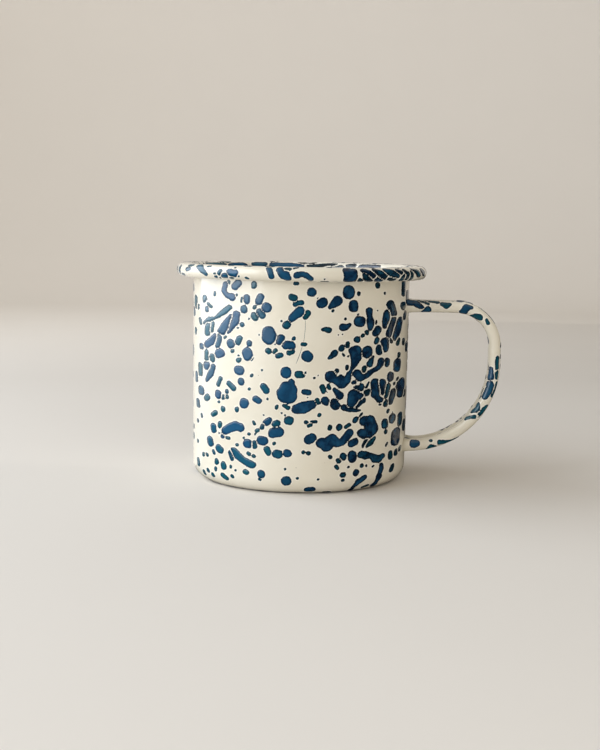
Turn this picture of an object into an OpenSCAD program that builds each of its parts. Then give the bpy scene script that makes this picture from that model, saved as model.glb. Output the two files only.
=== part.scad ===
// Enamelled sheet-steel mug: a drawn cup with a curled lip, a strap handle with rolled edges,
// four spot welds, and the fused glass coats that cover the steel.
// Millimetres, +Z up. The origin is the centre of the resting face, and the handle points along +X.

/* [Cup] */
// Height from the resting face to the top of the rim
cup_height = 79; // [76:0.5:90]
// Outer radius of the wall just under the rim
wall_top_r = 40; // [38:0.5:45]
// How much the outer radius shrinks from the rim down to the base corner
wall_taper = 0.4; // [0.2:0.1:1.5]
// Outer radius of the rounded corner between the wall and the base
corner_r = 6; // [4:0.5:7]
// Width of the flat ring that the mug rests on
ring_w = 3.1; // [2:0.1:8]
// Height of the stamped recess under the base
recess_h = 0.8; // [0.4:0.1:1.2]
// Sloping run between the recess and the resting ring
recess_run = 2; // [1:0.25:2.5]

/* [Rim] */
// How far the curled rim stands out from the wall
rim_overhang = 6; // [5:0.25:7]
// Radius of the curl's round section, with its coat
rim_r = 2.4; // [2.2:0.1:2.7]
// Gap between the wall and the free edge of the curled steel
curl_gap = 0.6; // [0.4:0.05:0.8]
// Depth under the curl's centre at which enamel starts to seal that gap
seal_depth = 1.1; // [1:0.05:1.2]

/* [Sheet and coats] */
// Thickness of the cup's sheet steel
steel_t = 0.5; // [0.4:0.05:0.6]
// Thickness of the handle's sheet steel
strap_t = 0.8; // [0.6:0.05:0.9]
// Thickness of the dark ground coat on each face
ground_t = 0.1; // [0.08:0.01:0.12]
// Thickness of the cream cover coat on each face
cover_t = 0.15; // [0.12:0.01:0.18]

/* [Handle] */
// Width of the strap across its two rolled edges
strap_w = 12; // [11:0.5:14]
// Radius of a rolled edge, with its coat
bead_r = 2.1; // [2:0.05:2.3]
// How far the strap's back lies below the crest of its rolled edges
web_drop = 0.3; // [0.2:0.05:0.4]
// Slit between a rolled edge's free end and the web
slit_w = 0.4; // [0.3:0.05:0.5]
// Height of the upper arm's centreline
upper_arm_z = 64.6; // [62:0.2:66]
// Height of the lower arm's centreline
lower_arm_z = 13.3; // [12:0.1:15]
// Distance from the wall to the centreline of the handle's back
handle_reach = 31.6; // [31.6:0.2:36]
// Centreline radius of the tight upper bend
upper_bend_r = 14.3; // [10:0.1:16]
// Centreline radius of the wide lower bend
lower_bend_r = 30.6; // [26:0.2:30.6]
// Width of the foot that is welded to the wall
foot_w = 10.4; // [10:0.1:10.4]
// How far the foot reaches from an arm's centreline towards the other arm
foot_depth = 1.6; // [1.5:0.05:1.6]

/* [Spot welds] */
// Radius of a weld nugget
weld_r = 1.3; // [1:0.1:1.5]
// Distance between the two nuggets of one foot
weld_spacing = 5.2; // [4:0.2:5.6]
// Depth of a nugget into the cup's wall
weld_in_wall = 0.3; // [0.2:0.05:0.35]
// Depth of a nugget into the handle's foot
weld_in_foot = 0.4; // [0.3:0.05:0.5]

/* [Hidden] */
$fn = 96;

coat_t = ground_t + cover_t;
wall_t = steel_t + 2 * coat_t;
rim_z = cup_height - rim_r;
lip_x = wall_top_r - wall_t + rim_r;
roll_x = wall_top_r + rim_overhang - rim_r;
taper_angle = atan(wall_taper / (rim_z - corner_r));
corner_x = wall_top_r - wall_taper - corner_r / cos(taper_angle);
recess_r = corner_x - ring_w - recess_run;
bead_y = strap_w / 2 - bead_r;
web_outer_x = bead_r - web_drop;
web_inner_x = web_outer_x - strap_t - 2 * coat_t;
web_middle_x = (web_outer_x + web_inner_x) / 2;
arm_start_x = wall_top_r - 3;
back_x = wall_top_r + handle_reach;
upper_bend_x = back_x - upper_bend_r;
lower_bend_x = back_x - lower_bend_r;
upper_bend_z = upper_arm_z - upper_bend_r;
lower_bend_z = lower_arm_z + lower_bend_r;
stub_length = 4;

cream = "#efe8d6";
ground_blue = "#20242c";
bare_steel = "#8d9196";
weld_grey = "#5c6064";

// ---- Cup profile, as half sections for rotate_extrude ----

// Outer radius at height z of the wall drawn inwards by inset.
function wall_r(inset, z) = wall_top_r - inset - (rim_z - z) * tan(taper_angle);

// Corner radius of the cup drawn inwards by inset.
function corner_radius(inset) = corner_r - inset * cos(taper_angle);

// The filled cup up to the centre of the rim, with every face drawn inwards by inset.
module cup_fill(inset) {
    radius = corner_radius(inset);
    floor_z = corner_r - radius;
    polygon([
        [0, floor_z + recess_h],
        [recess_r, floor_z + recess_h],
        [recess_r + recess_run, floor_z],
        [corner_x, floor_z],
        [corner_x, corner_r],
        [corner_x + radius * cos(taper_angle), corner_r - radius * sin(taper_angle)],
        [wall_r(inset, rim_z), rim_z],
        [0, rim_z]
    ]);
    translate([corner_x, corner_r]) circle(radius);
}

// The filled rim roll, drawn inwards by inset.
module roll_fill(inset) {
    radius = rim_r - inset;
    for (x = [lip_x, roll_x]) {
        translate([x, rim_z]) circle(radius);
    }
    translate([lip_x, rim_z - radius]) square([roll_x - lip_x, 2 * radius]);
}

// Sheet steel of the cup: base, corner, wall and the curl that ends short of the wall.
module steel_section() {
    difference() {
        cup_fill(coat_t);
        cup_fill(coat_t + steel_t);
    }
    difference() {
        roll_fill(coat_t);
        roll_fill(coat_t + steel_t);
        square([wall_top_r - coat_t + curl_gap, rim_z]);
    }
}

// Air that the curl encloses.
module curl_air() {
    difference() {
        union() {
            roll_fill(coat_t + steel_t);
            translate([lip_x - rim_r, rim_z - seal_depth]) square([rim_r, seal_depth]);
        }
        cup_fill(coat_t);
    }
}

// Ground coat on both faces of the cup and round the curl.
module ground_section() {
    difference() {
        union() {
            cup_fill(cover_t);
            roll_fill(cover_t);
        }
        cup_fill(wall_t - cover_t);
        steel_section();
        curl_air();
    }
}

// Cover coat on the outer side of the cup, up to the rim.
module outer_cover_section() {
    difference() {
        cup_fill(0);
        cup_fill(cover_t);
        roll_fill(0);
    }
}

// The part of a section that lies under the flat of the base.
module under_base() {
    square([corner_x, corner_r]);
}

// ---- Handle profile and route ----

// Section of the coated strap drawn inwards by inset: x points away from the loop, y across the strap.
module strap_fill(inset) {
    for (side = [-1, 1]) {
        translate([0, side * bead_y]) circle(bead_r - inset);
    }
    translate([web_inner_x + inset, -bead_y]) square([strap_t + 2 * (coat_t - inset), 2 * bead_y]);
}

// Air inside the two rolled edges.
module bead_air() {
    for (side = [-1, 1]) {
        translate([0, side * bead_y]) circle(bead_r - coat_t - strap_t);
    }
}

// Sheet steel of the strap: a web, and edges rolled round until they nearly meet it again.
module strap_steel() {
    difference() {
        strap_fill(coat_t);
        bead_air();
        translate([web_inner_x + coat_t - slit_w, -bead_y]) square([slit_w, 2 * bead_y]);
    }
}

// Sweeps a strap section along +X, with the outer side of the strap towards +Y.
module straight(length) {
    rotate([90, 0, 90]) linear_extrude(length) children();
}

// Sweeps a strap section round a quarter turn, from +X to +Y.
module quarter_bend(radius) {
    rotate_extrude(angle = 90) translate([radius, 0]) children();
}

// Sweeps a strap section along the whole handle: upper arm, bend, back, bend and lower arm.
module along_handle() {
    rotate([90, 0, 0]) {
        translate([arm_start_x, upper_arm_z, 0]) straight(upper_bend_x - arm_start_x) children();
        translate([upper_bend_x, upper_bend_z, 0]) quarter_bend(upper_bend_r) children();
        translate([back_x, upper_bend_z, 0])
            rotate([0, 0, -90]) straight(upper_bend_z - lower_bend_z) children();
        translate([lower_bend_x, lower_bend_z, 0])
            rotate([0, 0, -90]) quarter_bend(lower_bend_r) children();
        translate([lower_bend_x, lower_arm_z, 0])
            rotate([0, 0, 180]) straight(lower_bend_x - arm_start_x) children();
    }
}

// Sweeps a strap section along the part of each arm that meets the wall.
module arm_stubs() {
    rotate([90, 0, 0]) {
        translate([arm_start_x, upper_arm_z, 0]) straight(stub_length) children();
        translate([arm_start_x + stub_length, lower_arm_z, 0])
            rotate([0, 0, 180]) straight(stub_length) children();
    }
}

// A foot's plate against the wall, from the steel wall's face outwards, grown all round by grow.
// It joins the middle of the web, which is on the side that outward points to, up or down.
module foot_plate(arm_z, outward, grow) {
    width = foot_w + 2 * grow;
    height = foot_depth + web_middle_x + 2 * grow;
    middle_z = arm_z + outward * (web_middle_x - foot_depth) / 2;
    intersection() {
        rotate_extrude() cup_fill(coat_t - strap_t - grow);
        translate([arm_start_x, -width / 2, middle_z - height / 2]) cube([stub_length, width, height]);
    }
}

// Both foot plates, grown by grow.
module feet(grow) {
    foot_plate(upper_arm_z, 1, grow);
    foot_plate(lower_arm_z, -1, grow);
}

// The space that both ends of the handle take at the wall, with this much of their coats left off.
module handle_footprint(inset) {
    arm_stubs() strap_fill(inset);
    feet(coat_t - inset);
}

// One coat of the handle: its child is the coat's section on the strap, and at the feet the coat
// runs from inset inner out to inset outer.
module handle_coat(inner, outer) {
    difference() {
        along_handle() children();
        feet(coat_t - inner);
    }
    difference() {
        feet(coat_t - outer);
        feet(coat_t - inner);
        arm_stubs() strap_fill(inner);
    }
}

// The two nuggets of one foot, each across the joint between wall and foot.
module weld_pair(arm_z) {
    joint_r = wall_r(coat_t, arm_z);
    for (side = [-1, 1]) {
        translate([joint_r - weld_in_wall, side * weld_spacing / 2, arm_z])
            rotate([0, 90, 0]) cylinder(h = weld_in_wall + weld_in_foot, r = weld_r);
    }
}

// ---- Sub-parts ----

module steel_cup() {
    color(bare_steel) difference() {
        rotate_extrude() steel_section();
        weld_pair(upper_arm_z);
        weld_pair(lower_arm_z);
    }
}

module steel_handle() {
    color(bare_steel) difference() {
        union() {
            along_handle() strap_steel();
            feet(0);
        }
        rotate_extrude() cup_fill(coat_t);
        weld_pair(upper_arm_z);
        weld_pair(lower_arm_z);
    }
}

module upper_spot_welds() {
    color(weld_grey) weld_pair(upper_arm_z);
}

module lower_spot_welds() {
    color(weld_grey) weld_pair(lower_arm_z);
}

module cup_ground_enamel() {
    color(ground_blue) difference() {
        rotate_extrude() ground_section();
        handle_footprint(coat_t);
    }
}

module handle_ground_enamel() {
    color(ground_blue) difference() {
        handle_coat(coat_t, cover_t) difference() {
            strap_fill(cover_t);
            strap_steel();
            bead_air();
        }
        rotate_extrude() cup_fill(cover_t);
    }
}

module outside_enamel() {
    color(cream) difference() {
        rotate_extrude() difference() {
            outer_cover_section();
            under_base();
        }
        handle_footprint(cover_t);
    }
}

module inside_enamel() {
    color(cream) rotate_extrude() difference() {
        cup_fill(wall_t - cover_t);
        cup_fill(wall_t);
    }
}

module rim_enamel() {
    color(cream) rotate_extrude() difference() {
        roll_fill(0);
        roll_fill(cover_t);
        cup_fill(cover_t);
    }
}

module base_enamel() {
    color(cream) rotate_extrude() intersection() {
        outer_cover_section();
        under_base();
    }
}

module handle_enamel() {
    color(cream) difference() {
        handle_coat(cover_t, 0) difference() {
            strap_fill(0);
            strap_fill(cover_t);
        }
        rotate_extrude() cup_fill(0);
    }
}

steel_cup();
steel_handle();
upper_spot_welds();
lower_spot_welds();
cup_ground_enamel();
handle_ground_enamel();
outside_enamel();
inside_enamel();
rim_enamel();
base_enamel();
handle_enamel();
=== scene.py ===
"""Enamelled steel mug with navy splatter, on a plain pale studio floor.

Lengths are millimetres, apart from the section on camera, light and floor, which is in metres.
Angles round the mug are degrees from the side that faces -Y, and grow towards the handle on +X.
"""

import math

import bpy
import numpy as np
from mathutils import Euler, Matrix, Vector, noise


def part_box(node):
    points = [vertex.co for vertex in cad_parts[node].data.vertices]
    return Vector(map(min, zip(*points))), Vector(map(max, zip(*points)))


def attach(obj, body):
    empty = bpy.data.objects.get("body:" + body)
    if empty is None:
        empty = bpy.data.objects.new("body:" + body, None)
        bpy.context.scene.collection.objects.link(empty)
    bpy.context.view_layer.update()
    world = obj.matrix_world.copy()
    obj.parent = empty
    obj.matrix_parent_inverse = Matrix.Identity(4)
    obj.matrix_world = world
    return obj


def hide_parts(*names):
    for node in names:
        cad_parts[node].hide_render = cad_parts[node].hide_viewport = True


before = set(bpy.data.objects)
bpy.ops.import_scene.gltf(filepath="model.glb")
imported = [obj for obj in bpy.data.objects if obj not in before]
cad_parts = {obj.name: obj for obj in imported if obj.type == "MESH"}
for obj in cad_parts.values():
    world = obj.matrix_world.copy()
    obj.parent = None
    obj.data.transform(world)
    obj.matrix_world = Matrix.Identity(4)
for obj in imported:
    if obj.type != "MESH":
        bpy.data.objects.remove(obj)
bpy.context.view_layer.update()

MM = 0.001

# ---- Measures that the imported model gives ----


def box_mm(node):
    """Lowest and highest corner of a CAD node, in millimetres."""
    low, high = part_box(node)
    return low / MM, high / MM


RIM_HIGH = box_mm("rim_enamel")[1]
WALL_HIGH = box_mm("outside_enamel")[1]
BASE_HIGH = box_mm("base_enamel")[1]
HANDLE_LOW, HANDLE_HIGH = box_mm("handle_enamel")

# ---- Measures of the cup ----

CORNER_R = 6.0
CORNER_X = BASE_HIGH.y
RIM_R = 2.4
RIM_Z = RIM_HIGH.z - RIM_R
ROLL_X = RIM_HIGH.y - RIM_R
WALL_TOP_R = WALL_HIGH.y
WALL_TAPER = 0.4
WALL_SLOPE = WALL_TAPER / (RIM_Z - CORNER_R)
# Millimetres for one degree: round the wall, round the rim, and round the rim's roll
WALL_SCALE = math.radians(1) * WALL_TOP_R
RIM_SCALE = math.radians(1) * RIM_HIGH.y
ROLL_SCALE = math.radians(1) * RIM_R
WALL_T = 1.0
LIP_X = WALL_TOP_R - WALL_T + RIM_R
RECESS_R = 28.5
RECESS_H = 0.8
RECESS_RUN = 2.0
RECESS_END = RECESS_R + RECESS_RUN
# Where the wall's coat meets the rim, and the small fillet there as (outwards, up) steps
CREVICE_Z = RIM_Z - 1.95
CREVICE_FILLET = 0.6
CREVICE_STEPS = ((0.08, -0.2), (0.5, 0.15))
# Radius of the small disc at the middle of a turned face
CENTRE_R = 0.4

# ---- Measures of the handle ----

BEAD_R = 2.1
BEAD_Y = HANDLE_HIGH.y - BEAD_R
REACH = HANDLE_HIGH.x - BEAD_R
UPPER_ARM_Z = HANDLE_HIGH.z - BEAD_R
LOWER_ARM_Z = HANDLE_LOW.z + BEAD_R
UPPER_BEND_R = 14.3
LOWER_BEND_R = 30.6
ARM_START_X = 37.0
WEB_DROP = 0.3
FACE_CROWN = 0.1
CHANNEL_FLOOR = 0.5
CHANNEL_FILLET = 0.45
# The coat swells by JOINT_SWELL where it meets the wall, and settles over about JOINT_RUN
JOINT_SWELL = 0.9
JOINT_RUN = 1.8

# ---- Mesh spacing ----

CUP_STEP = 0.46
INSIDE_STEP = 0.6
RIM_STEP = 0.4
HANDLE_STEP = 0.4


def wall_radius(height):
    """Outer radius of the wall at a height above the corner."""
    return WALL_TOP_R - (RIM_Z - height) * WALL_SLOPE


def around(radius, angle, height):
    """Point at this radius, angle and height."""
    turn = math.radians(angle)
    return radius * math.sin(turn), -radius * math.cos(turn), height


def wall_point(angle, height):
    """Point on the outside of the cup."""
    if height < CORNER_R:
        radius = CORNER_X + math.sqrt(CORNER_R ** 2 - (CORNER_R - height) ** 2)
    else:
        radius = wall_radius(height)
    return around(radius, angle, height)


def rim_point(angle, tilt):
    """Point on the outer half of the rim's roll: tilt is 0 at its widest and 90 on top."""
    turn = math.radians(tilt)
    return around(ROLL_X + RIM_R * math.cos(turn), angle, RIM_Z + RIM_R * math.sin(turn))


def lip_point(angle, tilt):
    """Point on the inner half of the rim's roll: tilt is 0 at its narrowest and 90 on top."""
    turn = math.radians(tilt)
    return around(LIP_X - RIM_R * math.cos(turn), angle, RIM_Z + RIM_R * math.sin(turn))


# ---- Profiles, as (radius, height) lists ----


def arc(centre, radius, start, end, step):
    """Points of an arc, from start to end in degrees, both ends included."""
    count = max(2, round(abs(math.radians(end - start)) * radius / step))
    turns = np.radians(np.linspace(start, end, count + 1))
    return [(centre[0] + radius * math.cos(t), centre[1] + radius * math.sin(t)) for t in turns]


def distances(line):
    """How far along the line each of its points is."""
    lengths = np.hypot(*np.diff(line, axis=0).T)
    return np.concatenate([[0], np.cumsum(lengths)])


def points_at(marks, line):
    """Points of the line at marks, given as distances along it."""
    return np.column_stack([np.interp(marks, distances(line), line[:, k]) for k in (0, 1)])


def resample(points, step):
    """The same line with its points an even step apart."""
    line = np.array(points, float)
    length = distances(line)[-1]
    count = max(2, round(length / step))
    return points_at(np.linspace(0, length, count + 1), line)


def outer_profile():
    """From the resting ring round the corner and up the wall, into the crevice under the rim."""
    corner = arc((CORNER_X, CORNER_R), CORNER_R, -90, 0, CUP_STEP)
    low_z = CREVICE_Z - CREVICE_FILLET
    top_r = wall_radius(CREVICE_Z)
    fillet = [(wall_radius(low_z), low_z)]
    for outwards, up in CREVICE_STEPS:
        fillet.append((top_r + outwards, CREVICE_Z + up))
    return resample(corner + fillet, CUP_STEP)


def base_profile():
    """From the centre of the stamped recess out to the resting ring."""
    upper_ease = 0.6
    upper_drop = 0.06
    lower_rise = 0.03
    lower_ease = 0.7
    return resample(
        [(CENTRE_R, RECESS_H), (RECESS_R - upper_ease, RECESS_H), (RECESS_R, RECESS_H - upper_drop),
         (RECESS_END, lower_rise), (RECESS_END + lower_ease, 0.0), (CORNER_X, 0.0)],
        CUP_STEP,
    )


def inner_profile():
    """From the centre of the cup's floor out to the corner and up the inside of the wall."""
    ease = 0.8
    upper_drop = 0.08
    lower_rise = 0.05
    raised_z = WALL_T + RECESS_H
    floor = [
        (CENTRE_R, raised_z), (RECESS_R - ease, raised_z), (RECESS_R, raised_z - upper_drop),
        (RECESS_END, WALL_T + lower_rise), (RECESS_END + ease, WALL_T),
    ]
    corner = arc((CORNER_X, CORNER_R), CORNER_R - WALL_T, -90, 0, INSIDE_STEP)
    wall_top = (wall_radius(RIM_Z) - WALL_T, RIM_Z)
    return resample(floor + corner + [wall_top], INSIDE_STEP)


def rim_profile():
    """Round the rim's roll: from the wall's inside over the top to the crevice outside."""
    overlap = 0.02
    crevice_turn = math.degrees(math.acos((LIP_X - WALL_TOP_R + overlap) / RIM_R)) - 180
    over = arc((LIP_X, RIM_Z), RIM_R, 180, 90, RIM_STEP)
    outside = arc((ROLL_X, RIM_Z), RIM_R, 90, -90, RIM_STEP)
    under = arc((LIP_X, RIM_Z), RIM_R, -90, crevice_turn, RIM_STEP)
    return resample(over + outside + under, RIM_STEP)


# ---- Mesh builders ----


def make_piece(name, points, faces):
    """A smooth mesh piece that rides on the mug; points are in millimetres."""
    mesh = bpy.data.meshes.new(name)
    mesh.from_pydata((np.asarray(points) * MM).tolist(), [], faces)
    mesh.shade_smooth()
    piece = bpy.data.objects.new(name, mesh)
    bpy.context.scene.collection.objects.link(piece)
    return piece


def lathe(profile, step, outward):
    """A surface of revolution; outward is 1 if the profile runs up an outside face, else -1."""
    turns = round(2 * math.pi * max(profile[:, 0]) / step)
    spin = np.arange(turns) * 2 * math.pi / turns
    radius = profile[:, 0][:, None]
    x = radius * np.sin(spin)[None, :]
    y = -radius * np.cos(spin)[None, :]
    z = np.repeat(profile[:, 1][:, None], turns, axis=1)
    points = np.stack([x, y, z], axis=-1).reshape(-1, 3)
    faces = []
    for ring in range(len(profile) - 1):
        for k in range(turns):
            here = ring * turns + k
            beside = ring * turns + (k + 1) % turns
            quad = (here, beside, beside + turns, here + turns)
            faces.append(quad if outward > 0 else quad[::-1])
    return points, faces


def close_centre(faces, turns, outward):
    """Fills the small hole that a lathe leaves on the axis."""
    ring = tuple(range(turns))
    faces.append(ring[::-1] if outward > 0 else ring)


# ---- Splashes: each is a list of (x, y, z, radius) points that are joined into one drop ----

# Noise that makes the outlines irregular, as (cycles per millimetre, shift in millimetres)
WOBBLE = ((0.42, 0.22), (1.1, 0.09))
# Depth given to points that no drop is near
FAR_OUTSIDE = -3.0
# Width of the gap that stays between two drops, and how much wider each drop is than its marks
DROP_GAP = 0.30
SPREAD = 0.14
# Turn of the listed drops round the mug, and the angle, counted in their own turn, that they
# were judged from. A drop is widened round the mug by 1 / LEAST_SQUEEZE at most.
PATTERN_TURN = 3.0
SEEN_FROM = 3.0
LEAST_SQUEEZE = 0.38


def oval(place, u, v, length, width, tilt, u_scale=1.0):
    """An oval drop centred at place(u, v): its long axis is tilted from the u direction."""
    half = max(length - width, 0.0) / 2
    du = half * math.cos(math.radians(tilt)) / u_scale
    dv = half * math.sin(math.radians(tilt))
    radius = width / 2
    return [(*place(u - du, v - dv), radius), (*place(u + du, v + dv), radius)]


def stroke(place, marks):
    """A drop that follows marks of (u, v, radius)."""
    return [(*place(u, v), radius) for u, v, radius in marks]


def squeeze_at(angle):
    """How much narrower a drop at this angle looks from the front, and along which direction."""
    turn = math.radians(angle + PATTERN_TURN)
    share = max(math.cos(math.radians(angle - SEEN_FROM)), LEAST_SQUEEZE)
    return share, np.array([math.cos(turn), math.sin(turn), 0.0])


def squeezed(vectors, squeeze):
    """The vectors as they look from the front."""
    share, across = squeeze
    return vectors - (1 - share) * (vectors @ across)[:, None] * across


def segment_depth(offsets, first, second, radii):
    """Distance inside the outline of one tapered segment, negative outside it."""
    along = second - first
    length_squared = float(along @ along)
    offset = offsets - first
    if length_squared > 0:
        share = np.clip(offset @ along / length_squared, 0, 1)
    else:
        share = np.zeros(len(offsets))
    nearest = offset - share[:, None] * along
    return radii[0] + share * (radii[1] - radii[0]) - np.sqrt((nearest ** 2).sum(1))


def wobbled(points):
    """The points, shifted by smooth noise so that the drops' outlines come out irregular."""
    moved = points.copy()
    for frequency, amount in WOBBLE:
        moved += amount * np.array([noise.noise_vector(p) for p in (points * frequency).tolist()])
    return moved


def splash_depth(points, marks, squeeze):
    """Depth inside one drop at points that are given from the middle of its marks."""
    spots = squeezed(marks[:, :3] - marks[:, :3].mean(0), squeeze)
    radii = marks[:, 3]
    local = squeezed(points, squeeze)
    depth = np.full(len(points), FAR_OUTSIDE)
    for k in range(max(1, len(marks) - 1)):
        end = min(k + 1, len(marks) - 1)
        part = segment_depth(local, spots[k], spots[end], (radii[k], radii[end]))
        depth = np.maximum(depth, part)
    return depth


def splash_reach(marks, squeeze):
    """Distance from the middle of a drop's marks past which the drop has no effect."""
    spots = squeezed(marks[:, :3] - marks[:, :3].mean(0), squeeze)
    return (max(np.sqrt((spots ** 2).sum(1)) + marks[:, 3]) - FAR_OUTSIDE) / squeeze[0]


def splash_field(points, splashes):
    """Depth inside the nearest drop, and that drop's hue and thickness, at each point.

    Where two drops meet, a thin gap stays between them, as the liquid films hold apart.
    """
    points = wobbled(points)
    first = np.full(len(points), FAR_OUTSIDE)
    second = np.full(len(points), FAR_OUTSIDE)
    film = np.zeros((len(points), 2))
    for marks, drop_film, squeeze in splashes:
        marks = np.array(marks)
        offsets = points - marks[:, :3].mean(0)
        near = np.nonzero((offsets ** 2).sum(1) < splash_reach(marks, squeeze) ** 2)[0]
        if len(near) == 0:
            continue
        depth = splash_depth(offsets[near], marks, squeeze)
        second[near] = np.maximum(second[near], np.minimum(first[near], depth))
        film[near] = np.where((depth > first[near])[:, None], drop_film, film[near])
        first[near] = np.maximum(first[near], depth)
    return np.minimum(first, (first - second - DROP_GAP) / 2), film
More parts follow.
